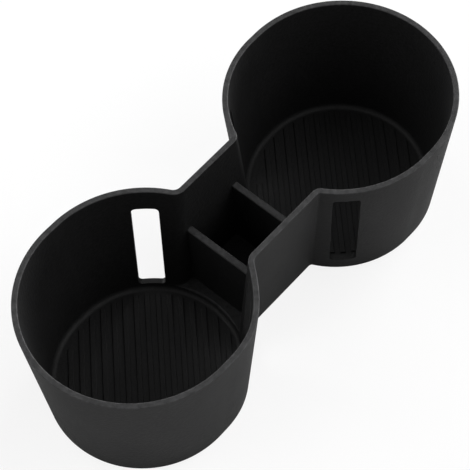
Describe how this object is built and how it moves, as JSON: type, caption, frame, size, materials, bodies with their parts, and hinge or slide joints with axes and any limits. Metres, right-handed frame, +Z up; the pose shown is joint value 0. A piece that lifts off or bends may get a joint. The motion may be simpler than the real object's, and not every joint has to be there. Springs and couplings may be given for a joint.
{
  "type": "double cup holder insert",
  "caption": "Double cup holder insert for a car console, with tapered wells on ribbed floors and a compartment in the neck between them.",
  "frame": {"origin": "centre of the bounding box at the resting plane: midway between the two cups, on the underside of the floor", "axes": "+X runs along the insert, from the left cup to the right cup; +Y points to the far side; +Z points up, from the floor to the rim"},
  "size_m": [0.2108, 0.0902, 0.0648],
  "materials": {
    "moulded_black": "satin moulded surface with a fine even grain"
  },
  "bodies": {
    "root": {"cup_holder": "moulded_black"}
  },
  "joints": []
}
